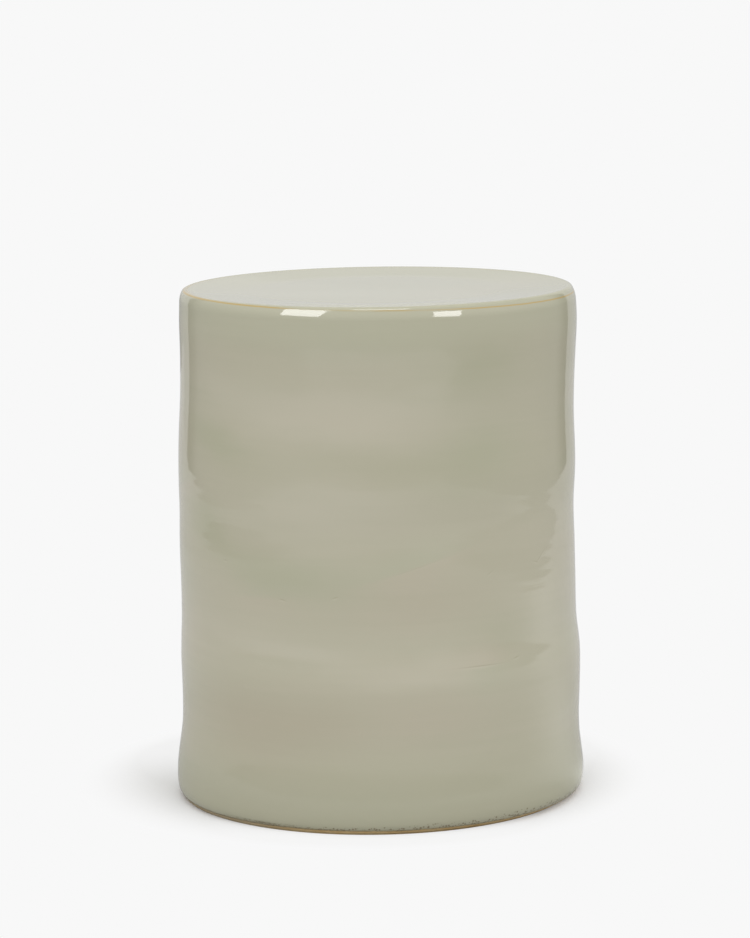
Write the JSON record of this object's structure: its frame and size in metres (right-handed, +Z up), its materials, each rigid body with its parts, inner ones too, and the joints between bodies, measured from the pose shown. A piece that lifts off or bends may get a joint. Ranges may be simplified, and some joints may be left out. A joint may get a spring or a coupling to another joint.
{
  "type": "ceramic garden stool",
  "caption": "Drum-shaped stoneware garden stool: a hand-thrown cylinder with a dished seat, a flared foot and an open underside.",
  "frame": {"origin": "on the floor, at the bottom centre of the bounding box, under the middle of the foot", "axes": "+Z up, from the foot to the seat; the front seen in the picture faces -Y, and +X is the picture's right"},
  "size_m": [0.3701, 0.3701, 0.46],
  "materials": {
    "celadon_glaze": "glossy pale grey-green glaze, thin and ochre at the edge of the seat",
    "bare_stoneware": "matt toasted brown stoneware, unglazed"
  },
  "bodies": {
    "root": {"foot_ring": "bare_stoneware", "thrown_wall": "celadon_glaze", "seat_disc": "celadon_glaze", "seam_coil": "bare_stoneware"}
  },
  "joints": []
}
